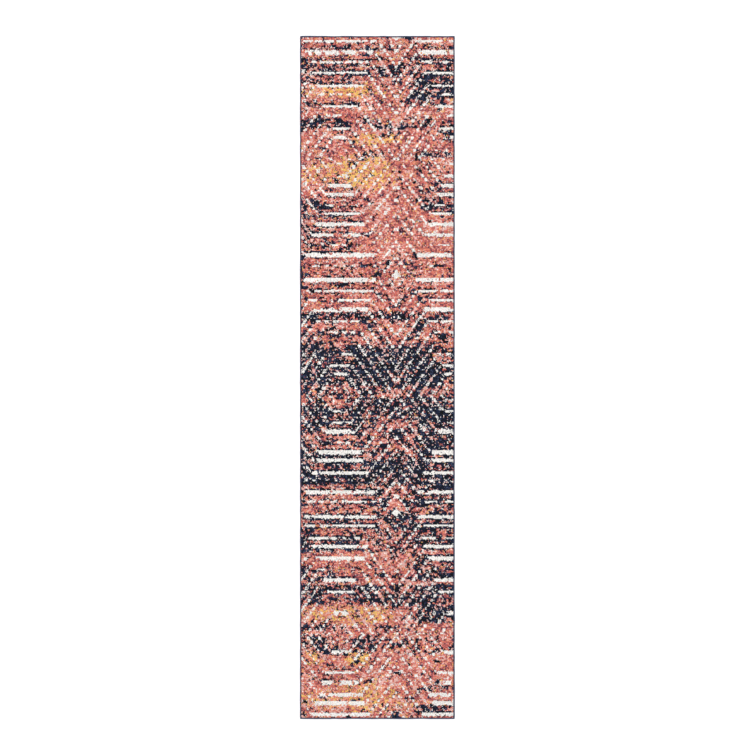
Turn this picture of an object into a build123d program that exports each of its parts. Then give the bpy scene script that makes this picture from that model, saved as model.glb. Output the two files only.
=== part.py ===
"""Runner rug: power-loomed cut pile on a woven ground, latex-backed and serged on four sides.

Units are millimetres.  X runs across the rug, +Y runs along it from the foot to the head,
and +Z is up.  The origin is the centre of the rug's footprint, on the floor.

The rug is a stack of flat layers (latex, three yarn layers of the ground weave and the cut
pile) whose margin is overcast with yarn around a filler cord.  The soft layers are plain
closed solids of their true outer size.
"""

import os

from build123d import *

os.makedirs("parts", exist_ok=True)

# ---------------------------------------------------------------- driving dimensions
rug_length = 3000.0
rug_width = 680.0

# Layer thicknesses, from the floor upwards.
latex_thickness = 0.8
back_weft_thickness = 0.8
warp_thickness = 0.6
face_weft_thickness = 0.8
pile_height = 7.0
pile_edge_round = 2.5

# Serged edge: overcast yarn around a filler cord, gripping the ground weave's margin.
serging_height = 6.2
cord_radius = 1.6
serging_back_leg = 10.0     # from the rug's outer edge to the wrap's inner line underneath
serging_face_leg = 7.0      # from the rug's outer edge to the pile
serging_lip_height = 5.2    # height of the wrap where it meets the pile
ground_margin = 5.5         # from the rug's outer edge to the edge of the ground weave
pile_corner = 4.0           # plan radius of the pile's corners

# Woven pattern: nested hexagons of straight ivory bars, repeated in two columns of the rug.
# Each half hexagon is its row's centre, its side (1 is the head's), and its bars, as distance
# from that centre and breadth.
bar_columns = (-164.0, 329.0)
wide_bar = 18.0
middle_bar = 14.0
narrow_bar = 10.0
half_hexagons = (
    (961.0, 1, {93: middle_bar, 133: narrow_bar, 230: narrow_bar, 282: narrow_bar}),
    (961.0, 1, {320: narrow_bar, 377: narrow_bar, 425: narrow_bar, 467: wide_bar}),
    (961.0, 1, {516: narrow_bar}),
    (961.0, -1, {76: narrow_bar, 118: middle_bar, 157: middle_bar, 242: narrow_bar}),
    (961.0, -1, {288: middle_bar, 335: middle_bar, 423: wide_bar}),
    (-83.0, 1, {98: narrow_bar, 135: narrow_bar, 186: narrow_bar, 281: narrow_bar}),
    (-83.0, 1, {330: narrow_bar, 381: wide_bar, 423: narrow_bar, 463: narrow_bar}),
    (-83.0, 1, {512: wide_bar}),
    (-83.0, -1, {65: narrow_bar, 115: narrow_bar, 155: wide_bar, 245: wide_bar}),
    (-83.0, -1, {281: middle_bar, 336: middle_bar, 421: middle_bar, 462: narrow_bar}),
    (-1126.0, 1, {91: wide_bar, 185: narrow_bar, 237: middle_bar, 331: wide_bar}),
    (-1126.0, 1, {384: middle_bar, 420: narrow_bar, 475: narrow_bar, 514: middle_bar}),
    (-1126.0, -1, {80: middle_bar, 170: narrow_bar, 214: wide_bar, 268: middle_bar}),
    (-1126.0, -1, {304: wide_bar, 354: middle_bar}),
)
bar_half_length_ratio = {1: 0.325, -1: 0.34}    # added half length of a bar for each mm further out
bar_shortest_half = {1: 0.0, -1: 10.0}
bar_longest_half = 158.0
pile_rim = 6.0              # coral tufts always left between a bar and the edge of the pile

# Care label, sewn flat into a shallow dent in the latex near the foot's right corner.
label_width = 60.0
label_length = 40.0
label_thickness = 0.3
label_dent = 0.45
label_clearance = 1.0
label_centre = (250.0, -1420.0)
stitch_length = 3.0
stitch_pitch = 4.5
stitch_width = 0.5
stitch_inset = 2.5

# Yarn tails of the serging, threaded back under the rug at each corner.
tail_length = 22.0
tail_width = 1.6
tail_thickness = 0.5
tail_corner_distance = 18.0

# ---------------------------------------------------------------- derived sizes
half_length = rug_length / 2
half_width = rug_width / 2
back_weft_base = latex_thickness
warp_base = back_weft_base + back_weft_thickness
face_weft_base = warp_base + warp_thickness
ground_top = face_weft_base + face_weft_thickness
cord_height = serging_height / 2
cord_inset = serging_height / 2     # from the rug's outer edge to the cord's centre
mitre_y = half_length - half_width  # where the two mitre planes meet on the centre line
reach = 10.0                        # how far a cutting tool runs past the rug


def layer_outline(margin):
    """Sketch the rug's outline, drawn in by margin from the outer edge."""
    return Rectangle(rug_width - 2 * margin, rug_length - 2 * margin)


def pile_outline():
    """Sketch the pile's outline, inside the serging, corners rounded."""
    pile_width = rug_width - 2 * serging_face_leg
    pile_length = rug_length - 2 * serging_face_leg
    return RectangleRounded(pile_width, pile_length, pile_corner)


def tail_centre(side_x, side_y):
    """Place the yarn tail that lies under one corner, side_x and side_y being -1 or 1."""
    tail_x = side_x * (half_width - tail_corner_distance)
    tail_y = side_y * (half_length - tail_corner_distance - tail_length / 2)
    return (tail_x, tail_y)


def bar_rectangles():
    """List each ivory bar as its centre, length across the rug and width along it."""
    pile_half_width = half_width - serging_face_leg - pile_rim
    bars = []
    for column in bar_columns:
        for row, side, ring_bars in half_hexagons:
            for distance, breadth in ring_bars.items():
                reach_out = bar_shortest_half[side] + bar_half_length_ratio[side] * distance
                reach_out = min(reach_out, bar_longest_half)
                left = max(column - reach_out, -pile_half_width)
                right = min(column + reach_out, pile_half_width)
                centre = ((left + right) / 2, row + side * distance)
                bars.append((centre, right - left, breadth))
    return bars


# ---------------------------------------------------------------- latex backcoat
with BuildPart() as latex_backcoat:
    with BuildSketch():
        layer_outline(serging_back_leg)
    extrude(amount=latex_thickness)
    with BuildSketch():
        with Locations(label_centre):
            Rectangle(label_width + 2 * label_clearance, label_length + 2 * label_clearance)
    extrude(amount=label_dent, mode=Mode.SUBTRACT)
    with BuildSketch():
        for side_x in (-1, 1):
            for side_y in (-1, 1):
                with Locations(tail_centre(side_x, side_y)):
                    SlotOverall(tail_length, tail_width, rotation=90)
    extrude(amount=tail_thickness, mode=Mode.SUBTRACT)
latex_backcoat.part.label = "latex_backcoat"
export_step(latex_backcoat.part, "parts/latex_backcoat.step")

# ---------------------------------------------------------------- ground weave
# Jute weft under the warps, the stuffer warps with the chain warps that bind them, and
# the jute weft over them, which the pile yarns are looped around.
with BuildPart() as back_weft:
    with BuildSketch(Plane.XY.offset(back_weft_base)):
        layer_outline(ground_margin)
    extrude(amount=back_weft_thickness)
back_weft.part.label = "back_weft"
export_step(back_weft.part, "parts/back_weft.step")

with BuildPart() as stuffer_warp:
    with BuildSketch(Plane.XY.offset(warp_base)):
        layer_outline(ground_margin)
    extrude(amount=warp_thickness)
stuffer_warp.part.label = "stuffer_warp"
export_step(stuffer_warp.part, "parts/stuffer_warp.step")

with BuildPart() as face_weft:
    with BuildSketch(Plane.XY.offset(face_weft_base)):
        layer_outline(ground_margin)
    extrude(amount=face_weft_thickness)
face_weft.part.label = "face_weft"
export_step(face_weft.part, "parts/face_weft.step")

# ---------------------------------------------------------------- cut pile
# The ivory yarn comes up only in the bars.  The field yarns fill everything around them.
with BuildPart() as ivory_pile:
    with BuildSketch(Plane.XY.offset(ground_top)):
        for centre, across, along in bar_rectangles():
            with Locations(centre):
                Rectangle(across, along)
    extrude(amount=pile_height)
ivory_pile.part.label = "ivory_pile"
export_step(ivory_pile.part, "parts/ivory_pile.step")

with BuildPart() as field_pile:
    with BuildSketch(Plane.XY.offset(ground_top)):
        pile_outline()
    extrude(amount=pile_height)
    fillet(field_pile.faces().sort_by(Axis.Z)[-1].edges(), radius=pile_edge_round)
    with BuildSketch(Plane.XY.offset(ground_top)):
        for centre, across, along in bar_rectangles():
            with Locations(centre):
                Rectangle(across, along)
    extrude(amount=pile_height, mode=Mode.SUBTRACT)
field_pile.part.label = "field_pile"
export_step(field_pile.part, "parts/field_pile.step")

# ---------------------------------------------------------------- serged edges
# Each side is serged on its own: a straight run of the wrap's section, which is a back leg
# under the ground weave, a round nose over the cord and a face leg that ends at the pile.
# The runs are parted along 45 degree mitres at the corners.
outer_x = half_width + reach
outer_y = half_length + reach
right_region = ((0, -mitre_y), (outer_x, -outer_y), (outer_x, outer_y), (0, mitre_y))
head_region = ((0, mitre_y), (outer_x, outer_y), (-outer_x, outer_y))
left_region = ((0, mitre_y), (-outer_x, outer_y), (-outer_x, -outer_y), (0, -mitre_y))
foot_region = ((0, -mitre_y), (-outer_x, -outer_y), (outer_x, -outer_y))
# For each side: its direction, its edge's distance from the centre, half of its run, region.
sides = {
    "right": (0, half_width, outer_y, right_region),
    "head": (90, half_length, outer_x, head_region),
    "left": (180, half_width, outer_y, left_region),
    "foot": (270, half_length, outer_x, foot_region),
}
for side, (direction, edge, half_run, region) in sides.items():
    outward = Vector(1, 0, 0).rotate(Axis.Z, direction)
    section_plane = Plane(origin=(0, 0, 0), x_dir=outward, z_dir=outward.rotate(Axis.Z, -90))
    cord_edge = edge - cord_inset
    back_leg_end = edge - serging_back_leg
    face_leg_end = edge - serging_face_leg
    ground_edge = edge - ground_margin
    with BuildPart() as side_serging:
        with BuildSketch(section_plane):
            with BuildLine():
                Line((back_leg_end, 0), (cord_edge, 0))
                ThreePointArc((cord_edge, 0), (edge, cord_height), (cord_edge, serging_height))
                Line((cord_edge, serging_height), (face_leg_end, serging_lip_height))
                Polyline(
                    (face_leg_end, serging_lip_height),
                    (face_leg_end, ground_top),
                    (ground_edge, ground_top),
                    (ground_edge, latex_thickness),
                    (back_leg_end, latex_thickness),
                    (back_leg_end, 0),
                )
            make_face()
            with Locations((cord_edge, cord_height)):
                Circle(cord_radius, mode=Mode.SUBTRACT)
        extrude(amount=half_run, both=True)
        with BuildSketch(Plane.XY.offset(-reach)):
            Polygon(*region, align=None)
        extrude(amount=serging_height + 2 * reach, mode=Mode.INTERSECT)
    side_serging.part.label = f"{side}_serging"
    export_step(side_serging.part, f"parts/{side}_serging.step")

    with BuildPart() as side_cord:
        with BuildSketch(section_plane):
            with Locations((cord_edge, cord_height)):
                Circle(cord_radius)
        extrude(amount=half_run, both=True)
        with BuildSketch(Plane.XY.offset(-reach)):
            Polygon(*region, align=None)
        extrude(amount=serging_height + 2 * reach, mode=Mode.INTERSECT)
    side_cord.part.label = f"{side}_edge_cord"
    export_step(side_cord.part, f"parts/{side}_edge_cord.step")

# Where two wraps meet, the yarn's tail is threaded back under the rug and glued in.
with BuildPart() as yarn_tails:
    with BuildSketch():
        for side_x in (-1, 1):
            for side_y in (-1, 1):
                with Locations(tail_centre(side_x, side_y)):
                    SlotOverall(tail_length, tail_width, rotation=90)
    extrude(amount=tail_thickness)
yarn_tails.part.label = "yarn_tails"
export_step(yarn_tails.part, "parts/yarn_tails.step")

# ---------------------------------------------------------------- care label
with BuildPart() as care_label:
    with BuildSketch(Plane.XY.offset(label_dent - label_thickness)):
        with Locations(label_centre):
            Rectangle(label_width, label_length)
    extrude(amount=label_thickness)
care_label.part.label = "care_label"
export_step(care_label.part, "parts/care_label.step")

# Lock stitches along the label's four sides, standing on its face inside the dent.
stitched_width = label_width - 2 * stitch_inset
stitched_length = label_length - 2 * stitch_inset
across_count = int(stitched_width / stitch_pitch)
along_count = int((stitched_length - stitch_pitch) / stitch_pitch)
with BuildPart() as label_stitches:
    with BuildSketch():
        with Locations(label_centre):
            with GridLocations(stitch_pitch, stitched_length, across_count, 2):
                Rectangle(stitch_length, stitch_width)
            with GridLocations(stitched_width, stitch_pitch, 2, along_count):
                Rectangle(stitch_width, stitch_length)
    extrude(amount=label_dent - label_thickness)
label_stitches.part.label = "label_stitches"
export_step(label_stitches.part, "parts/label_stitches.step")
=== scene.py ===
"""Runner rug: a power-loomed cut-pile runner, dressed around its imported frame.

Lengths are metres in the frame's own axes: +X runs across the rug, +Y along it towards the
head, +Z up out of the pile, with the origin on the floor under the rug's middle.  The woven
design is worked out tuft by tuft in millimetres, because yarn pitches are small numbers
there, and is turned to metres where it meets a mesh.
"""

from __future__ import annotations

import logging
import math
from dataclasses import dataclass, field
from enum import Enum
from typing import Any

import bpy
import numpy as np
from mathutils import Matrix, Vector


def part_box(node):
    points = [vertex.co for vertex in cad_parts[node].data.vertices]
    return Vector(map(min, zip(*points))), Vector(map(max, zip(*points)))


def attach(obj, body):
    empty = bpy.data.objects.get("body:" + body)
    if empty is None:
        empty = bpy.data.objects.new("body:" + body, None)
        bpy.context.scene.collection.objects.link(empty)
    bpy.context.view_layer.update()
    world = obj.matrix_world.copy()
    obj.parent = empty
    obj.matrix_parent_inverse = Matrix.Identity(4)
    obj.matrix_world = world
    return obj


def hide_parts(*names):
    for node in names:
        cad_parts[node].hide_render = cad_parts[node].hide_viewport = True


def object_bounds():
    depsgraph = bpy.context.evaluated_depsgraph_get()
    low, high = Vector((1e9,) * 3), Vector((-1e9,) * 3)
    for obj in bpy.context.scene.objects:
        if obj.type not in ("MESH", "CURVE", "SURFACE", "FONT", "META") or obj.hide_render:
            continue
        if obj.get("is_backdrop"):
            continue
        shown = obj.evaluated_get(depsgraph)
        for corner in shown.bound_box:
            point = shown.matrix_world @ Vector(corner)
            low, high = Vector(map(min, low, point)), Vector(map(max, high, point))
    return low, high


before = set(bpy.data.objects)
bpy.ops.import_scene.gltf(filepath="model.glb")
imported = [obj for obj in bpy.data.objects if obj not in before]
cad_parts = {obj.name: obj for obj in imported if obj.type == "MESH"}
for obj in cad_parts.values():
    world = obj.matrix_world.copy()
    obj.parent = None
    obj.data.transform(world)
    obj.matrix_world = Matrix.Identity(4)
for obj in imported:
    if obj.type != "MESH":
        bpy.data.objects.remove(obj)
cad_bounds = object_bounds()

log = logging.getLogger("runner_rug")

MM = 0.001
ROOT_BODY = "root"
NOISE_CELLS = 512

# The ends of serging yarn on the back, and how far along the rug they reach.
TAIL_LENGTH = 0.022
TAIL_WIDTH = 0.0016
TAIL_END = 1.482


# ------------------------------------------------------------------ colour and noise


def linear_colour(hex_colour: str) -> tuple[float, float, float, float]:
    """Turn an sRGB hex colour into linear light, opaque.

    Args:
        hex_colour: six hex digits, such as "DC7563".

    Returns:
        Red, green, blue and 1, each from 0 to 1.
    """
    parts = [int(hex_colour[i : i + 2], 16) / 255 for i in (0, 2, 4)]
    return (*(p / 12.92 if p <= 0.04045 else ((p + 0.055) / 1.055) ** 2.4 for p in parts), 1.0)


def value_noise(u: np.ndarray, v: np.ndarray, cell_u: float, cell_v: float, seed: int) -> np.ndarray:
    """Smooth random values from 0 to 1 over a plane.

    Random heights stand on a lattice of cell_u by cell_v, which repeats after NOISE_CELLS cells.
    Between them the value follows f = t * t * (3 - 2 * t) in each direction.

    Args:
        u: first coordinate of each point.
        v: second coordinate of each point.
        cell_u: lattice spacing along u.
        cell_v: lattice spacing along v.
        seed: seed of the random heights.

    Returns:
        One value for each point.
    """
    heights = np.random.default_rng(seed).random((NOISE_CELLS, NOISE_CELLS))
    a = u / cell_u + NOISE_CELLS / 3
    b = v / cell_v + NOISE_CELLS / 3
    column = np.floor(a).astype(int)
    row = np.floor(b).astype(int)
    fa = a - column
    fb = b - row
    fa = fa * fa * (3 - 2 * fa)
    fb = fb * fb * (3 - 2 * fb)
    left, right = column % NOISE_CELLS, (column + 1) % NOISE_CELLS
    low, high = row % NOISE_CELLS, (row + 1) % NOISE_CELLS
    below = heights[low, left] * (1 - fa) + heights[low, right] * fa
    above = heights[high, left] * (1 - fa) + heights[high, right] * fa
    return below * (1 - fb) + above * fb


def evened(values: np.ndarray) -> np.ndarray:
    """Replace each value by its rank over the count, so that the result is uniform from 0 to 1."""
    flat = values.ravel()
    rank = np.empty(flat.size)
    rank[np.argsort(flat, kind="stable")] = (np.arange(flat.size) + 0.5) / flat.size
    return rank.reshape(values.shape)


def white_noise(shape: tuple[int, ...], seed: int) -> np.ndarray:
    """Independent random values from 0 to 1 of that shape."""
    return np.random.default_rng(seed).random(shape)


# ------------------------------------------------------------------ meshes


def mesh_object(
    name: str, points: np.ndarray, polygons: list[np.ndarray], smooth: bool = True
) -> bpy.types.Object:
    """Make an object at the origin from points and polygons.

    Args:
        name: the piece's name.
        points: vertex places, n by 3, in metres.
        polygons: arrays of vertex indices, one row for each polygon of that many corners.
        smooth: whether the faces are shaded smooth.

    Returns:
        The new object, linked to the scene.
    """
    mesh = bpy.data.meshes.new(name)
    corners = np.concatenate([p.ravel() for p in polygons])
    totals = np.concatenate([np.full(len(p), p.shape[1]) for p in polygons])
    starts = np.concatenate([[0], np.cumsum(totals)[:-1]])
    mesh.vertices.add(len(points))
    mesh.vertices.foreach_set("co", np.ascontiguousarray(points, dtype=np.float32).ravel())
    mesh.loops.add(len(corners))
    mesh.loops.foreach_set("vertex_index", corners.astype(np.int32))
    mesh.polygons.add(len(totals))
    mesh.polygons.foreach_set("loop_start", starts.astype(np.int32))
    mesh.polygons.foreach_set("use_smooth", np.full(len(totals), smooth))
    mesh.update(calc_edges=True)
    mesh.validate()
    piece = bpy.data.objects.new(name, mesh)
    bpy.context.scene.collection.objects.link(piece)
    return piece


def grid_quads(rows: int, columns: int) -> np.ndarray:
    """Quads that face up, of a grid of vertices with rows along +Y and columns along +X."""
    index = np.arange(rows * columns).reshape(rows, columns)
    corners = [index[:-1, :-1], index[:-1, 1:], index[1:, 1:], index[1:, :-1]]
    return np.stack(corners, axis=-1).reshape(-1, 4)


def grid_rim(rows: int, columns: int) -> np.ndarray:
    """Indices of a grid's outer vertices, counter-clockwise from its first corner."""
    index = np.arange(rows * columns).reshape(rows, columns)
    return np.concatenate([index[0, :-1], index[:-1, -1], index[-1, :0:-1], index[:0:-1, 0]])


def walled_slab(
    name: str, top: np.ndarray, rings: list[np.ndarray], face_down: bool = False
) -> bpy.types.Object:
    """Close a grid of points into a slab: walls of quads down its rim, and one flat face below.

    Args:
        name: the piece's name.
        top: rows by columns by 3 places.
        rings: places of each further ring of the wall, each as long as the grid's rim.
        face_down: True where the grid is the slab's underside, so that every face is turned.

    Returns:
        The closed object.
    """
    rows, columns = top.shape[:2]
    rim = grid_rim(rows, columns)
    count = len(rim)
    loops = [rim] + [rows * columns + count * k + np.arange(count) for k in range(len(rings))]
    walls = [
        np.stack([lower, np.roll(lower, -1), np.roll(upper, -1), upper], axis=-1)
        for upper, lower in zip(loops[:-1], loops[1:])
    ]
    polygons = [grid_quads(rows, columns), *walls, loops[-1][::-1][None, :]]
    if face_down:
        polygons = [p[:, ::-1] for p in polygons]
    return mesh_object(name, np.concatenate([top.reshape(-1, 3), *rings]), polygons)


def plumb_slab(
    name: str, x: np.ndarray, y: np.ndarray, z: np.ndarray, level: float, face_down: bool = False
) -> bpy.types.Object:
    """Close the surface (x, y, z) with plumb walls that end in a flat face at the level.

    Args:
        name: the piece's name.
        x: places across, rows by columns.
        y: places along, rows by columns.
        z: heights, rows by columns.
        level: height of the flat face.
        face_down: True where the surface is the slab's underside.

    Returns:
        The closed object.
    """
    surface = np.stack([x, y, z], axis=-1)
    ring = surface.reshape(-1, 3)[grid_rim(*x.shape)]
    ring[:, 2] = level
    return walled_slab(name, surface, [ring], face_down)


def tube_polygons(steps: int, around: int) -> list[np.ndarray]:
    """Polygons of a tube whose points are numbered round each section and then step by step.

    Args:
        steps: sections along the tube.
        around: points of each section, numbered the way round that turns the faces outwards.

    Returns:
        The quads of its side, and its two end caps.
    """
    index = np.arange(steps * around).reshape(steps, around)
    after = np.roll(index, -1, axis=1)
    quads = np.stack([index[1:], after[1:], after[:-1], index[:-1]], axis=-1).reshape(-1, 4)
    return [quads, np.stack([index[0], index[-1][::-1]])]


def settle(
    piece: bpy.types.Object, slot: str, material: bpy.types.Material, *nodes: str
) -> bpy.types.Object:
    """Dress a finished piece, ride it on the rug, and let it stand for its CAD nodes.

    Args:
        piece: the finished object.
        slot: the name of the record's material slot, which is only logged.
        material: its material.
        nodes: the CAD nodes that it replaces.

    Returns:
        The same object.
    """
    piece.data.materials.clear()
    piece.data.materials.append(material)
    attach(piece, ROOT_BODY)
    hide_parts(*nodes)
    log.info("%s: %d faces, slot %s", piece.name, len(piece.data.polygons), slot)
    return piece


# ------------------------------------------------------------------ woven design


class Yarn(Enum):
    """The pile yarns on the loom, in the order of their colours in PILE_COLOURS."""

    CORAL = 0
    ROSE = 1
    BLUSH = 2
    APRICOT = 3
    GOLD = 4
    IVORY = 5
    NAVY = 6
    INK = 7
    WINE = 8
    SLATE = 9


PILE_COLOURS = {
    Yarn.CORAL: "DE766A",
    Yarn.ROSE: "AE5B60",
    Yarn.BLUSH: "EEBCB5",
    Yarn.APRICOT: "EE9D76",
    Yarn.GOLD: "F9C66E",
    Yarn.IVORY: "FBF7F3",
    Yarn.NAVY: "19233E",
    Yarn.INK: "040508",
    Yarn.WINE: "5A3A49",
    Yarn.SLATE: "434E6C",
}

# Shares of the field's yarns, from dark to light, where no motif is woven.
FIELD_MIX = (
    (Yarn.WINE, 0.06),
    (Yarn.ROSE, 0.18),
    (Yarn.CORAL, 0.42),
    (Yarn.APRICOT, 0.13),
    (Yarn.BLUSH, 0.185),
    (Yarn.IVORY, 0.025),
)

# Shares of the yarns that make up what shows as navy, from dark to light.
SHADOW_MIX = ((Yarn.INK, 0.47), (Yarn.NAVY, 0.45), (Yarn.SLATE, 0.08))


class Bar(Enum):
    """How broad one straight bar of a hexagon is, and how much ivory it still shows."""

    WIDE = "W"
    WORN_WIDE = "w"
    MIDDLE = "M"
    WORN_MIDDLE = "m"
    NARROW = "N"
    WORN_NARROW = "n"
    FLECKS = "d"


# For each kind of bar, half of its breadth in millimetres and the share of it that is worn away.
BAR_SHAPES = {
    Bar.WIDE: (9.4, 0.05),
    Bar.WORN_WIDE: (9.4, 0.22),
    Bar.MIDDLE: (7.4, 0.06),
    Bar.WORN_MIDDLE: (7.0, 0.34),
    Bar.NARROW: (5.3, 0.08),
    Bar.WORN_NARROW: (4.6, 0.38),
    Bar.FLECKS: (4.2, 0.72),
}


@dataclass(frozen=True)
class HexagonSide:
    """The head or foot half of one row of nested hexagons.  Lengths are millimetres.

    bars gives each straight bar across the rug by its distance from the row's centre.  Strings
    of ivory dashes, evenly spaced from first_ring, run back from the bars' ends at the slope.
    """

    centre: float
    toward_head: int
    first_ring: float
    ring_pitch: float
    shortest_half_bar: float
    bar_ratio: float
    slope: float
    bars: dict[float, Bar]


def bar_places(codes: str) -> dict[float, Bar]:
    """Read bars such as "49d 93m": each one's distance from the row's centre, and its kind."""
    return {float(code[:-1]): Bar(code[-1]) for code in codes.split()}


def head_half(centre: float, codes: str) -> HexagonSide:
    """The half of a row of hexagons that points to the head, with its bars as codes."""
    return HexagonSide(centre, 1, 46.8, 46.8, 0.0, 0.325, 1.42, bar_places(codes))


def foot_half(centre: float, codes: str, first_ring: float = 26.4) -> HexagonSide:
    """The half of a row of hexagons that points to the foot, with its bars as codes."""
    return HexagonSide(centre, -1, first_ring, 44.0, 10.0, 0.34, 1.27, bar_places(codes))


@dataclass(frozen=True)
class ShadowBand:
    """A stretch of the rug where navy shows through, as distances from the head in millimetres.

    left, middle and right are the shares of navy tufts in those thirds of the width.
    """

    start: float
    end: float
    left: float
    middle: float
    right: float


@dataclass(frozen=True)
class GoldPatch:
    """An oval where gold yarn shows, as its centre and half sizes in millimetres."""

    across: float
    from_head: float
    half_across: float
    half_along: float
    share: float


# For each band: where it starts and ends, and its shares of navy at the left, middle and right.
SHADOW_BANDS = tuple(
    ShadowBand(*row)
    for row in (
        (40, 55, 0.36, 0.18, 0.28), (93, 108, 0.42, 0.14, 0.90), (110, 125, 0.15, 0.10, 0.30),
        (128, 142, 0.42, 0.35, 0.30), (145, 178, 0.22, 0.28, 0.34), (180, 213, 0.26, 0.10, 0.50),
        (215, 280, 0.04, 0.08, 0.38), (282, 302, 0.36, 0.16, 0.16), (356, 406, 0.32, 0.22, 0.24),
        (409, 460, 0.08, 0.08, 0.20), (510, 530, 0.04, 0.20, 0.50), (638, 688, 0.07, 0.05, 0.24),
        (708, 767, 0.30, 0.04, 0.34), (778, 811, 0.38, 0.03, 0.05), (831, 864, 0.26, 0.06, 0.02),
        (884, 952, 0.30, 0.03, 0.04), (972, 1058, 0.20, 0.12, 0.10), (1077, 1163, 0.12, 0.12, 0.12),
        (1165, 1210, 0.06, 0.08, 0.06), (1214, 1250, 0.52, 0.34, 0.42), (1253, 1303, 0.16, 0.16, 0.18),
        (1306, 1356, 0.24, 0.22, 0.17), (1358, 1427, 0.43, 0.46, 0.38), (1429, 1532, 0.40, 0.46, 0.42),
        (1535, 1585, 0.28, 0.26, 0.28), (1587, 1620, 0.10, 0.40, 0.40), (1623, 1690, 0.36, 0.38, 0.66),
        (1693, 1743, 0.40, 0.24, 0.55), (1746, 1813, 0.22, 0.20, 0.40), (1816, 1866, 0.40, 0.30, 0.40),
        (1869, 1919, 0.44, 0.44, 0.54), (1921, 1972, 0.68, 0.62, 0.72), (1974, 2006, 0.24, 0.26, 0.80),
        (2009, 2095, 0.13, 0.26, 0.36), (2097, 2147, 0.26, 0.36, 0.38), (2150, 2200, 0.26, 0.34, 0.30),
        (2203, 2270, 0.44, 0.20, 0.32), (2273, 2323, 0.04, 0.06, 0.34), (2326, 2393, 0.30, 0.08, 0.46),
        (2409, 2500, 0.36, 0.30, 0.40), (2502, 2568, 0.03, 0.10, 0.40), (2585, 2604, 0.34, 0.10, 0.03),
        (2642, 2710, 0.24, 0.20, 0.15), (2713, 2832, 0.10, 0.06, 0.05), (2858, 2876, 0.02, 0.02, 0.30),
        (2937, 2982, 0.04, 0.10, 0.40),
    )
)

# For each oval: its centre across and from the head, its half sizes, and its share of gold.
GOLD_PATCHES = tuple(
    GoldPatch(*row)
    for row in (
        (-150, 240, 190, 33, 0.34), (-45, 456, 90, 26, 0.44), (72, 450, 44, 24, 0.26),
        (-66, 598, 128, 80, 0.42), (-230, 604, 100, 46, 0.24), (-136, 2542, 200, 44, 0.30),
        (-285, 2730, 52, 31, 0.30), (-90, 2734, 50, 35, 0.42), (-57, 2902, 124, 70, 0.30),
        (-224, 2910, 114, 44, 0.26), (136, 2935, 70, 20, 0.18),
    )
)


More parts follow.
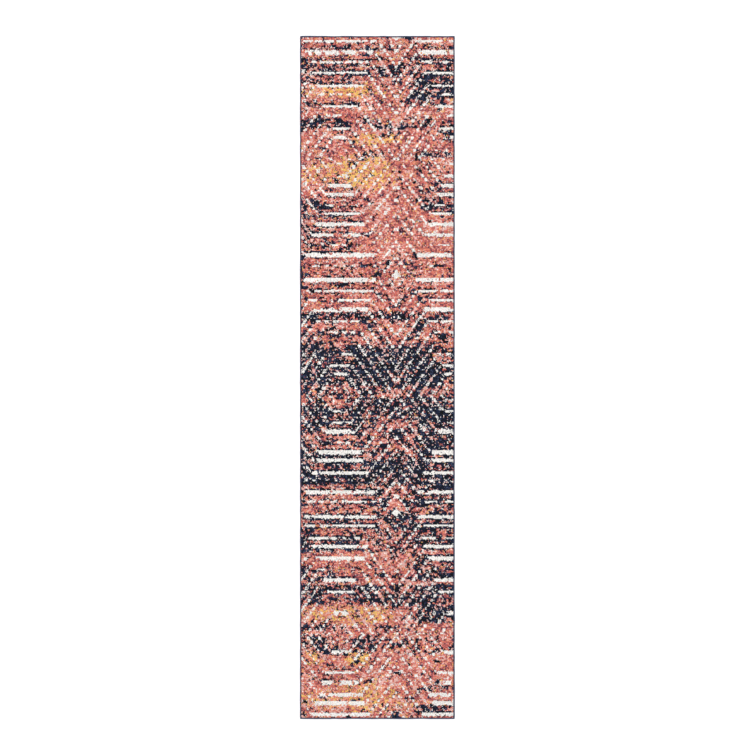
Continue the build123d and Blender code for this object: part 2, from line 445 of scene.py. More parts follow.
@dataclass
class WovenDesign:
    """The rug's design: nested hexagons in ivory on coral, distressed as if worn and over-dyed.

    Lengths are millimetres.  u and v are the tufts' places across the rug and along it, from its
    middle, and every array has one value for each tuft.
    """

    u: np.ndarray
    v: np.ndarray
    half_length: float = 1500.0
    column_pitch: float = 493.0
    first_column: float = -164.0
    row_pitch: float = 1043.6
    longest_half_bar: float = 158.0
    # How much wear frays a bar's end, its edge towards the foot and its edge towards the head.
    end_fray: float = 14.0
    foot_fray: float = 9.0
    head_fray: float = 3.2
    # How far a bar's shadow reaches past its end and beside it, and how heavy navy is in the
    # shadow and between the bars.
    shadow_past_end: float = 8.0
    shadow_beside: float = 8.5
    beside_gain: float = 1.5
    between_gain: float = 0.72
    # Dashes: their spacing along a string, half of the least size and how much some are larger,
    # the fray of their edges, how far they step off the slant, the gap after a bar's end, and the
    # shares at which dashes are lost, are whole rather than faded, and run together.
    dash_pitch: float = 18.3
    dash_half_height: float = 4.4
    dash_half_breadth: float = 3.7
    dash_taller: float = 3.4
    dash_broader: float = 3.5
    dash_fray: float = 4.0
    dash_step: float = 0.7
    dash_gap: float = 6.0
    dashes_lost: float = 0.06
    dashes_whole: float = 0.80
    dashes_joined: float = 0.93
    # The small diamonds: half sizes, how far past the hexagons' rows they stand, and their wear.
    heart_half_width: float = 18.0
    heart_half_length: float = 17.0
    heart_offset: float = 10.0
    heart_fray: float = 0.6
    # Where the thirds of a shadow band pass into each other, how far its edges wander and
    # scatter, and how far a band reaches past its end to meet the next.
    left_third: float = -60.0
    right_third: float = 130.0
    third_blend: float = 90.0
    band_wander: float = 12.0
    band_scatter: float = 16.0
    band_overlap: float = 4.4
    # Shares of yarns out of their motif, and how they follow the navy or the gold round them.
    background_navy: float = 0.045
    stray_navy: float = 0.02
    shadow_gain: float = 2.15
    most_navy: float = 0.95
    stray_gold: float = 0.025
    gold_fade: float = 1.45
    orange_per_gold: float = 0.6
    stray_light: float = 0.015
    light_per_navy: float = 0.07
    stray_wear: float = 0.03
    wear_per_navy: float = 0.26
    halves: tuple[HexagonSide, ...] = (
        head_half(961.0, "49d 93m 133N 190d 230N 282n 320N 377N 425n 467w 516N"),
        foot_half(961.0, "22n 76m 118M 157M 204d 242N 288M 335m 379d 423W 471d"),
        head_half(-83.0, "98N 135N 186n 281n 330n 381w 423N 463N 512W"),
        foot_half(-83.0, "16d 65n 115n 155W 203d 245W 281M 336M 370d 421M 462n"),
        head_half(-1126.0, "42d 91W 185N 237M 283d 331W 384M 420n 475N 514M"),
        foot_half(-1126.0, "80M 170N 214w 268M 304W 354M", first_ring=39.6),
    )

    def __post_init__(self) -> None:
        """Work out what the motifs share: the distance to a column, and the noise of their wear."""
        offset = (self.u - self.first_column) / self.column_pitch
        self.du = np.abs(offset - np.round(offset)) * self.column_pitch
        self.ragged = self.noise(7.0, 7.0, 13) - 0.5
        self.joined = evened(self.noise(34.0, 34.0, 14)) > self.dashes_joined

    def noise(self, cell_across: float, cell_along: float, seed: int) -> np.ndarray:
        """Smooth random values from 0 to 1 over the rug, in cells of that size."""
        return value_noise(self.u, self.v, cell_across, cell_along, seed)

    def draw(self, seed: int) -> np.ndarray:
        """An independent random value from 0 to 1 for each tuft."""
        return white_noise(self.u.shape, seed)

    def bars_and_strings(self) -> tuple[np.ndarray, ...]:
        """Where ivory is woven, how far out each tuft's ring is, and what lies beside the bars.

        A bar covers |v - ring| < half breadth for |u| < ratio * ring.  Past the bar's end the ring
        goes on where |v| + slope * |u| is constant, as dashes one dash pitch apart.

        Returns:
            A mask of ivory, a mask of the strings in it, a mask of the ivory that has faded to
            blush, the ring coordinate, and 1 beside a bar, -1 between bars and 0 elsewhere.
        """
        du, ragged = self.du, self.ragged
        ivory, strings, faint = np.zeros((3, *du.shape), dtype=bool)
        ring_place, beside = np.zeros((2, *du.shape))
        wear = evened(self.noise(19.0, 30.0, 11) * 0.75 + self.noise(8.0, 9.0, 12) * 0.25)
        for number, half in enumerate(self.halves):
            dv = (self.v - half.centre) * half.toward_head
            inside = (dv >= 0) & (dv < self.row_pitch / 2)
            distances = np.array(list(half.bars))
            shapes = np.array([BAR_SHAPES[bar] for bar in half.bars.values()])
            nearest = np.searchsorted((distances[:-1] + distances[1:]) / 2, dv)
            distance, breadth, worn = distances[nearest], shapes[nearest, 0], shapes[nearest, 1]
            end = np.minimum(half.shortest_half_bar + half.bar_ratio * distance, self.longest_half_bar)
            end = end + ragged * self.end_fray
            foot_edge = (dv - distance) * half.toward_head < 0
            off = np.abs(dv - distance) + ragged * np.where(foot_edge, self.foot_fray, self.head_fray)
            bar = (off < breadth) & (du < end) & (wear > worn)
            close = (du < end + self.shadow_past_end) & (off >= breadth)
            touching = close & (off < breadth + self.shadow_beside) & (worn < 0.5)
            beside = np.where(inside & close, np.where(touching, 1.0, -1.0), beside)

            string, faded = self.dashes(half, number, dv)
            ivory |= inside & (bar | string)
            strings |= inside & string & ~bar
            faint |= inside & string & faded & ~bar
            factor = 1 + half.bar_ratio * half.slope
            slanted = (dv + half.slope * (du - half.shortest_half_bar)) / factor
            place = np.where(slanted < dv, dv, slanted)
            ring_place = np.where(inside, place, ring_place)
        return ivory | self.hearts(), strings, faint, ring_place, beside

    def dashes(self, half: HexagonSide, number: int, dv: np.ndarray) -> tuple[np.ndarray, ...]:
        """The ivory dashes on the slanting strings of one half row of hexagons.

        Args:
            half: the half row.
            number: its number, which sets its own random wear.
            dv: distance along the rug from the row's centre.

        Returns:
            A mask of the dashes, and a mask of where they are faded.
        """
        factor = 1 + half.bar_ratio * half.slope
        row = np.round(dv / self.dash_pitch)
        row_centre = row * self.dash_pitch
        stepped = np.where(self.joined, dv, self.dash_step * row_centre + (1 - self.dash_step) * dv)
        place = (stepped + half.slope * (self.du - half.shortest_half_bar)) / factor
        ring = np.round((place - half.first_ring) / half.ring_pitch)
        sideways = np.abs(place - half.first_ring - ring * half.ring_pitch) * factor / half.slope
        column = np.round(self.u / (self.column_pitch / 2))
        name = ring * 131 + row * 17 + column * 7 + number * 1013
        # The fraction of a large multiple of a sine is as good as a random draw for each dash.
        kept = np.abs(np.sin(name * 12.9898) * 43758.5453) % 1.0
        size = np.abs(np.sin(name * 78.233) * 24634.6345) % 1.0
        tall = np.abs(dv - row_centre) < self.dash_half_height + self.dash_taller * size
        frayed = sideways + self.ragged * self.dash_fray
        slim = frayed < self.dash_half_breadth + self.dash_broader * size
        past_bar = self.du > half.shortest_half_bar + half.bar_ratio * dv + self.dash_gap
        dash = slim & (tall | self.joined) & (kept > self.dashes_lost) & (ring >= 0) & past_bar
        return dash, kept > self.dashes_whole

    def hearts(self) -> np.ndarray:
        """The small ivory diamond at the heart of each diamond between the hexagons.

        A tuft is in it where |u| / half width + |v| / half length is under 1, less the fray.

        Returns:
            A mask of the diamonds.
        """
        middle = self.first_column + self.column_pitch / 2
        mask = np.zeros(self.u.shape, dtype=bool)
        for half in self.halves:
            heart = half.centre + half.toward_head * self.row_pitch / 2 + self.heart_offset
            across = np.abs(self.u - middle) / self.heart_half_width
            along = np.abs(self.v - heart) / self.heart_half_length
            mask |= across + along + self.ragged * self.heart_fray < 1
        return mask

    def navy_share(self, beside: np.ndarray) -> np.ndarray:
        """Chance that a tuft is navy: the shadow bands, heavier right beside each ivory bar.

        Args:
            beside: 1 beside a bar, -1 between bars and 0 elsewhere.

        Returns:
            The chance for each tuft.
        """
        left = np.clip((self.left_third - self.u) / self.third_blend, 0, 1)
        right = np.clip((self.u - self.right_third) / self.third_blend, 0, 1)
        middle = 1 - left - right
        place = self.half_length - self.v + (self.noise(60.0, 40.0, 21) - 0.5) * self.band_wander
        place = place + (self.draw(3) - 0.5) * self.band_scatter
        share = np.full(place.shape, self.background_navy)
        for band in SHADOW_BANDS:
            here = (place >= band.start) & (place < band.end + self.band_overlap)
            share = np.where(here, left * band.left + middle * band.middle + right * band.right, share)
        share = share * self.shadow_gain + self.stray_navy
        weight = np.where(beside < -0.5, self.between_gain, 1.0)
        weight = np.where(beside > 0.5, self.beside_gain, weight)
        return np.clip(share * weight, 0, self.most_navy)

    def gold_share(self) -> np.ndarray:
        """Chance that a tuft is gold: a few strays, and ovals that fade out at their rims."""
        share = np.full(self.u.shape, self.stray_gold)
        for patch in GOLD_PATCHES:
            across = (self.u - patch.across) / patch.half_across
            along = (self.half_length - self.v - patch.from_head) / patch.half_along
            oval = np.clip(self.gold_fade - across**2 - along**2, 0, 1)
            share = np.maximum(share, patch.share * oval)
        return share

    def pick(self, mix: tuple[tuple[Yarn, float], ...], noise: np.ndarray) -> np.ndarray:
        """Deal a mix of yarns out by noise, each over its own share of the noise's range.

        Args:
            mix: yarns with their shares, for the lowest noise first.
            noise: a value for each tuft.

        Returns:
            The value of a Yarn for each tuft.
        """
        limits = np.cumsum([share for _, share in mix])
        codes = np.array([yarn.value for yarn, _ in mix])
        choice = np.searchsorted(limits / limits[-1], evened(noise))
        return codes[np.clip(choice, 0, len(codes) - 1)]

    def yarns(self) -> np.ndarray:
        """The yarn that comes up at each tuft, as the value of a Yarn."""
        ivory, strings, faint, ring_place, beside = self.bars_and_strings()
        # Navy clumps run with the rings, so that they lie flat beside bars and slant beside strings.
        clump = (
            value_noise(self.du, ring_place, 28.0, 9.0, 31) * 0.32
            + self.noise(60.0, 22.0, 32) * 0.24
            + self.noise(10.5, 8.5, 33) * 0.47
            + self.draw(1) * 0.21
        )
        navy_share = self.navy_share(beside)
        navy = evened(clump) < navy_share
        shadow_noise = self.noise(13.0, 8.0, 35) * 0.5 + self.draw(2) * 0.7
        shadow = self.pick(SHADOW_MIX, shadow_noise)
        gold_clump = self.noise(10.0, 7.5, 41) + 0.5 * self.draw(5)
        gold_share = self.gold_share()
        gold = evened(gold_clump) < gold_share
        orange = evened(gold_clump) > 1 - self.orange_per_gold * gold_share
        field_noise = self.noise(7.5, 5.5, 51) + 0.5 * self.draw(6) + 0.35 * self.noise(55.0, 40.0, 52)
        yarns = self.pick(FIELD_MIX, field_noise)
        yarns = np.where(orange, Yarn.APRICOT.value, yarns)
        yarns = np.where(gold, Yarn.GOLD.value, yarns)
        yarns = np.where(navy, shadow, yarns)
        speck_noise = self.noise(6.0, 5.5, 61) + 0.4 * self.draw(4)
        speck = evened(speck_noise) < self.stray_light + self.light_per_navy * navy_share
        light = np.where(self.draw(9) < 0.5, Yarn.IVORY.value, Yarn.BLUSH.value)
        yarns = np.where(speck, light, yarns)
        lost = self.stray_wear + self.wear_per_navy * navy_share * strings
        shown = ivory & (self.draw(8) > lost)
        return np.where(shown, np.where(faint, Yarn.BLUSH.value, Yarn.IVORY.value), yarns)


# ------------------------------------------------------------------ finishes


def add_node(
    tree: bpy.types.NodeTree,
    kind: str,
    settings: dict[Any, Any] | None = None,
    links: dict[Any, Any] | None = None,
) -> bpy.types.Node:
    """Add a shader node with its settings and links.

    Args:
        tree: the material's node tree.
        kind: the node's type name after "ShaderNode", such as "Mix".
        settings: values by the name of a property, or by the name or number of an input socket.
        links: what feeds each input, by the input's name or number: a node, which gives its first
            output, or a node with the name or number of its output.

    Returns:
        The new node.
    """
    node = tree.nodes.new("ShaderNode" + kind)
    for key, value in (settings or {}).items():
        if isinstance(key, str) and hasattr(node, key):
            setattr(node, key, value)
        else:
            node.inputs[key].default_value = value
    for key, source in (links or {}).items():
        giver, output = source if isinstance(source, tuple) else (source, 0)
        tree.links.new(giver.outputs[output], node.inputs[key])
    return node


@dataclass(frozen=True)
class Finish:
    """What every finish has: a name in a maker's words, and a surface with the right gloss."""

    name: str = "finish"
    roughness: float = 0.85
    ior: float = 1.5
    sheen: float = 0.0
    bump: float = 0.0

    def start(self) -> tuple[bpy.types.Material, bpy.types.NodeTree, tuple[bpy.types.Node, str]]:
        """A material of that name, its node tree, and the link that gives object coordinates."""
        material = bpy.data.materials.new(self.name)
        material.use_nodes = True
        tree = material.node_tree
        tree.nodes.clear()
        return material, tree, (add_node(tree, "TexCoord"), "Object")

    def surface(self, tree: bpy.types.NodeTree, colour: Any, height: Any, rough: Any = None) -> None:
        """End the tree in a principled surface.

        Args:
            tree: the material's node tree.
            colour: what gives the colour, as a link of add_node.
            height: what gives the relief, from 0 to 1.
            rough: what gives the roughness, or None for the plain value.
        """
        relief = add_node(tree, "Bump", {"Strength": 1.0, "Distance": self.bump}, {"Height": height})
        links = {"Base Color": colour, "Normal": relief}
        if rough is not None:
            links["Roughness"] = rough
        shader = add_node(
            tree,
            "BsdfPrincipled",
            {
                "Roughness": self.roughness,
                "IOR": self.ior,
                "Sheen Weight": self.sheen,
                "Sheen Roughness": 0.5,
            },
            links,
        )
        add_node(tree, "OutputMaterial", links={"Surface": shader})


@dataclass(frozen=True)
class PileFinish(Finish):
    """Heat-set polypropylene pile: matt, slightly silky fibre ends, each tuft its own yarn colour."""

    name: str = "heat-set polypropylene cut pile"
    roughness: float = 0.9
    ior: float = 1.35
    sheen: float = 0.02
    bump: float = 0.0004
    fibre_width: float = 0.00045
    # Painted shade: the colour is scaled from a dark factor at the root height to a light factor at the tip
    # height.
    root: float = 0.0078
    tip: float = 0.0102
    root_painted_shade: float = 0.66
    tip_painted_light: float = 1.12
    colour_layer: str = "yarn_colour"

    def make(self) -> bpy.types.Material:
        """Build the material: the tuft's colour, mottled by fibres, with painted shade down in the gaps."""
        material, tree, place = self.start()
        yarn = add_node(tree, "Attribute", {"attribute_name": self.colour_layer})
        fibres = add_node(
            tree,
            "TexNoise",
            {"Scale": 1 / self.fibre_width, "Detail": 2.0, "Roughness": 0.6},
            {"Vector": place},
        )
        shade = add_node(
            tree,
            "MapRange",
            {"From Min": 0.3, "From Max": 0.7, "To Min": 0.8, "To Max": 1.18},
            {"Value": fibres},
        )
        parts = add_node(tree, "SeparateXYZ", links={"Vector": place})
        # Painted shade: the lower a point stands, the darker it is, as shade down in the gaps between
        # tufts.
        depth = add_node(
            tree,
            "MapRange",
            {
                "From Min": self.root,
                "From Max": self.tip,
                "To Min": self.root_painted_shade,
                "To Max": self.tip_painted_light,
            },
            {"Value": (parts, "Z")},
        )
        mottle_and_painted_shade = add_node(tree, "Math", {"operation": "MULTIPLY"}, {0: shade, 1: depth})
        toned = add_node(tree, "VectorMath", {"operation": "SCALE"}, {0: yarn, "Scale": mottle_and_painted_shade})
        rough = add_node(tree, "MapRange", {"To Min": 0.8, "To Max": 1.0}, {"Value": fibres})
        self.surface(tree, toned, fibres, rough)
        return material


@dataclass(frozen=True)
class YarnFinish(Finish):
    """Spun or extruded yarn: two close shades in streaks, with fine fibre relief."""

    name: str = "spun yarn"
    light: str = "FFFFFF"
    dark: str = "C0C0C0"
    streak_across: float = 0.002
    streak_along: float = 0.02
    streak_axis: int = 0
    fibre_width: float = 0.0005
    fleck: str = ""
    fleck_share: float = 0.0
    fleck_scale: float = 0.5

    def make(self) -> bpy.types.Material:
        """Build the material: long streaks of two shades, and a little of a third as flecks."""
        material, tree, place = self.start()
        scale = [1 / self.streak_across] * 3
        scale[self.streak_axis] = 1 / self.streak_along
        stretch = add_node(tree, "Mapping", {"Scale": tuple(scale)}, {"Vector": place})
        streaks = add_node(
            tree, "TexNoise", {"Scale": 1.0, "Detail": 3.0, "Roughness": 0.65}, {"Vector": stretch}
        )
        blend = add_node(tree, "MapRange", {"From Min": 0.32, "From Max": 0.68}, {"Value": streaks})
        two_tone = add_node(
            tree,
            "Mix",
            {"data_type": "RGBA", 6: linear_colour(self.dark), 7: linear_colour(self.light)},
            {0: blend},
        )
        colour = (two_tone, 2)
        fibres = add_node(
            tree, "TexNoise", {"Scale": 1 / self.fibre_width, "Detail": 2.0}, {"Vector": place}
        )
        if self.fleck:
            spots = add_node(
                tree, "TexNoise", {"Scale": self.fleck_scale, "Detail": 1.0}, {"Vector": stretch}
            )
            edge = 0.72 - 0.5 * self.fleck_share
            mask = add_node(tree, "MapRange", {"From Min": edge, "From Max": edge + 0.05}, {"Value": spots})
            flecked = add_node(
                tree, "Mix", {"data_type": "RGBA", 7: linear_colour(self.fleck)}, {0: mask, 6: colour}
            )
            colour = (flecked, 2)
        rough = add_node(
            tree,
            "MapRange",
            {"To Min": self.roughness - 0.1, "To Max": min(self.roughness + 0.1, 1.0)},
            {"Value": fibres},
        )
        self.surface(tree, colour, fibres, rough)
        return material


@dataclass(frozen=True)
class LatexFinish(Finish):
    """Synthetic latex spread thin over jute: waxy beige, with the weave's yarns ghosting through."""

    name: str = "latex back-size over jute"
    roughness: float = 0.55
    ior: float = 1.52
    bump: float = 0.0003
    yarn_pitch_across: float = 0.00333
    yarn_pitch_along: float = 0.00359
    over_gaps: str = "A58C66"
    over_yarns: str = "DCCFB2"
    pooled: str = "CDBE9C"

    def make(self) -> bpy.types.Material:
        """Build the material: woven ribs both ways, blotched where the latex pooled."""
        material, tree, place = self.start()
        # A band texture's period is its scale's turn over 20, hence the factor on each pitch.
        ribs = [
            add_node(
                tree,
                "TexWave",
                {
                    "bands_direction": axis,
                    "Scale": math.tau / (20 * pitch),
                    "Distortion": 1.2,
                    "Detail": 2.0,
                    "Detail Scale": 2.0,
                },
                {"Vector": place},
            )
            for axis, pitch in (("X", self.yarn_pitch_across), ("Y", self.yarn_pitch_along))
        ]
        weave = add_node(
            tree, "Math", {"operation": "MULTIPLY"}, {0: (ribs[0], "Fac"), 1: (ribs[1], "Fac")}
        )
        pools = add_node(tree, "TexNoise", {"Scale": 14.0, "Detail": 4.0}, {"Vector": place})
        ramp = add_node(tree, "ValToRGB", links={"Fac": weave})
        ramp.color_ramp.elements[0].color = linear_colour(self.over_gaps)
        ramp.color_ramp.elements[1].color = linear_colour(self.over_yarns)
        amount = add_node(
            tree,
            "MapRange",
            {"From Min": 0.35, "From Max": 0.7, "To Min": 0.0, "To Max": 0.6},
            {"Value": pools},
        )
        pooled = add_node(
            tree, "Mix", {"data_type": "RGBA", 7: linear_colour(self.pooled)}, {0: amount, 6: ramp}
        )
        rough = add_node(tree, "MapRange", {"To Min": 0.42, "To Max": 0.72}, {"Value": pools})
        self.surface(tree, (pooled, 2), weave, rough)
        return material


@dataclass(frozen=True)
class TwillFinish(Finish):
    """Woven satin label tape: white polyester with a fine diagonal, drawn 0.6 mm coarse to show."""

    name: str = "woven polyester label tape"
    roughness: float = 0.5
    sheen: float = 0.1
    bump: float = 0.0001
    rib_pitch: float = 0.0006
    dark: str = "DEDCD6"
    light: str = "F6F5F1"

    def make(self) -> bpy.types.Material:
        """Build the material: diagonal ribs with a soft sheen."""
        material, tree, place = self.start()
        twill = add_node(
            tree,
            "TexWave",
            {"bands_direction": "DIAGONAL", "Scale": math.tau / (20 * self.rib_pitch), "Distortion": 0.4},
            {"Vector": place},
        )
        colour = add_node(
            tree,
            "Mix",
            {"data_type": "RGBA", 6: linear_colour(self.dark), 7: linear_colour(self.light)},
            {0: (twill, "Fac")},
        )
        self.surface(tree, (colour, 2), (twill, "Fac"))
        return material


# ------------------------------------------------------------------ pieces


@dataclass
class CutPile:
    """The cut pile, tuft by tuft, in bands along the rug that meet edge to edge.

    Each tuft is a crowned square of four faces whose middle stands above the gaps round it.
    """

    finish: PileFinish = field(default_factory=PileFinish)
    columns: int = 200
    rows: int = 832
    bands: int = 8
    half_width: float = 0.333
    half_length: float = 1.493
    top: float = 0.0101
    row_gap: float = 0.0011
    column_gap: float = 0.0007
    tip_scatter: float = 0.0005
    lean_scatter: float = 0.0004
    flare: float = 0.0008
    corner: float = 0.004
    swell: float = 0.0006
    rim_fall: float = 0.0018
    rim_cell: float = 0.013
    rim_band: float = 0.0005
    # The rings of a wall, from the top: how far each bulges outwards, and its height.
    wall_rings: tuple[tuple[float, float], ...] = ((0.0004, 0.0068), (-0.0012, 0.0052), (-0.0026, 0.003))
    # How much darker the walls are than their tufts: painted shade on the pile's sides.
    wall_painted_shade: float = 0.8
    ground_colour: str = "8D6F52"

    def build(self) -> list[bpy.types.Object]:
        """Build, colour and dress every band.

        Returns:
            The bands, from the foot to the head.
        """
        points = self.tips()
        colours = self.tuft_colours()
        material = self.finish.make()
        rows_each = self.rows // self.bands
        pieces = []
        for band in range(self.bands):
            first = band * rows_each
            strip = points[2 * first : 2 * (first + rows_each) + 1]
            piece = walled_slab(f"pile_band_{band + 1}", strip, self.walls(strip, band))
            self.paint(piece, colours[first : first + rows_each], strip.shape[:2])
            pieces.append(settle(piece, "field_pile", material, "field_pile", "ivory_pile"))
        return pieces

    def tips(self) -> np.ndarray:
        """Places of the pile's top: a grid of two steps to a tuft each way.

        Odd steps are the tufts' middles, even steps the gaps between them.  Height is the top less
        the row gap on even rows and the column gap on even columns, plus a little scatter.  The
        outermost steps drop and flare over the serging, and the plan's corners are rounded.

        Returns:
            An array of steps along, by steps across, by 3.
        """
        along = np.linspace(-self.half_length, self.half_length, 2 * self.rows + 1)
        across = np.linspace(-self.half_width, self.half_width, 2 * self.columns + 1)
        x, y = np.meshgrid(across, along)
        shape = x.shape
        odd_row = (np.arange(shape[0]) % 2 == 1)[:, None]
        odd_column = (np.arange(shape[1]) % 2 == 1)[None, :]
        middle = odd_row & odd_column
        z = np.full(shape, self.top)
        z -= np.where(odd_row, 0, self.row_gap) + np.where(odd_column, 0, self.column_gap)
        z += (white_noise(shape, 61) - 0.5) * 2 * self.tip_scatter
        z += (value_noise(x, y, 0.05, 0.04, 62) - 0.5) * self.swell
        lean = np.where(middle, 1.0, 0.35) * self.lean_scatter
        x = x + (white_noise(shape, 63) - 0.5) * 2 * lean
        y = y + (white_noise(shape, 64) - 0.5) * 2 * lean
        x, y, z = self.spread_rim(x, y, z)
        return np.stack([x, y, z], axis=-1)

    def spread_rim(self, x: np.ndarray, y: np.ndarray, z: np.ndarray) -> tuple[np.ndarray, ...]:
        """Round the plan's corners, and let the outer tufts fall outwards over the serging.

        In the last corner length, reach runs from 0 to 1 each way.  A corner is pulled in by its
        length times reach times 1 - sqrt(1 - other reach squared / 2), as a square goes to a disc.

        Args:
            x: places across.
            y: places along.
            z: heights.

        Returns:
            The three, changed near the rim.
        """
        reach_x = np.clip((np.abs(x) - self.half_width + self.corner) / self.corner, 0, 1)
        reach_y = np.clip((np.abs(y) - self.half_length + self.corner) / self.corner, 0, 1)
        x = x - np.sign(x) * self.corner * reach_x * (1 - np.sqrt(1 - reach_y**2 / 2))
        y = y - np.sign(y) * self.corner * reach_y * (1 - np.sqrt(1 - reach_x**2 / 2))
        wave_x = 0.55 + 0.9 * value_noise(y, np.sign(x), self.rim_cell, 1.0, 65)
        wave_y = 0.55 + 0.9 * value_noise(x, np.sign(y), self.rim_cell, 1.0, 66)
        fall_x = reach_x**2
        fall_y = reach_y**2
        x = x + np.sign(x) * self.flare * fall_x * wave_x
        y = y + np.sign(y) * self.flare * fall_y * wave_y
        return x, y, z - self.rim_fall * np.maximum(fall_x, fall_y)

    def walls(self, strip: np.ndarray, band: int) -> list[np.ndarray]:
        """Rings down a band's rim: bulging outwards on the rug's own edges, plumb inside the rug.

        Args:
            strip: the band's top, steps along by steps across by 3.
            band: the band's number from the foot.

        Returns:
            The rings, from the top.
        """
        rim = strip.reshape(-1, 3)[grid_rim(*strip.shape[:2])]
        outer_x = np.abs(rim[:, 0]) > self.half_width - self.rim_band
        outer_y = np.abs(rim[:, 1]) > self.half_length - self.rim_band
        if 0 < band < self.bands - 1:
            outer_y = np.zeros_like(outer_y)
        out = np.stack([np.sign(rim[:, 0]) * outer_x, np.sign(rim[:, 1]) * outer_y], axis=-1)
        rings = []
        for bulge, height in self.wall_rings:
            ring = rim.copy()
            ring[:, :2] += out * bulge
            ring[:, 2] = height
            rings.append(ring)
        return rings

    def tuft_colours(self) -> np.ndarray:
        """Linear colour of each tuft, rows by columns by 3, with each yarn's own slight unevenness."""
        pitch_x = 2 * self.half_width / self.columns
        pitch_y = 2 * self.half_length / self.rows
        across = (np.arange(self.columns) + 0.5) * pitch_x - self.half_width
        along = (np.arange(self.rows) + 0.5) * pitch_y - self.half_length
        u, v = np.meshgrid(across / MM, along / MM)
        yarns = WovenDesign(u, v).yarns()
        palette = np.array([linear_colour(PILE_COLOURS[yarn])[:3] for yarn in Yarn])
        uneven = np.exp((white_noise(u.shape, 71) - 0.5) * 0.4)
        return palette[yarns] * uneven[..., None]

    def paint(self, piece: bpy.types.Object, colours: np.ndarray, steps: tuple[int, int]) -> None:
        """Give each face its tuft's colour, and each wall the colour of the tuft above, in painted shade.

        Args:
            piece: a band.
            colours: the band's tuft colours, rows by columns by 3.
            steps: the band's grid steps along and across.
        """
        row = np.arange(steps[0] - 1) // 2
        column = np.arange(steps[1] - 1) // 2
        top = colours[row][:, column]
        rim = np.concatenate([top[0, :], top[:, -1], top[-1, ::-1], top[::-1, 0]])
        rings = (len(piece.data.polygons) - 1 - top.shape[0] * top.shape[1]) // len(rim)
        # Painted shade: the walls are darker than the tops above them.
        walls = np.tile(rim * self.wall_painted_shade, (rings, 1))
        under = np.array([linear_colour(self.ground_colour)[:3]])
        faces = np.concatenate([top.reshape(-1, 3), walls, under])
        rgba = np.concatenate([faces, np.ones((len(faces), 1))], axis=1)
        layer = piece.data.attributes.new(self.finish.colour_layer, "FLOAT_COLOR", "FACE")
        layer.data.foreach_set("color", rgba.astype(np.float32).ravel())


class Side(Enum):
    """The rug's four sides, each as the direction that its edge faces."""

    RIGHT = (1, 0)
    HEAD = (0, 1)
    LEFT = (-1, 0)
    FOOT = (0, -1)


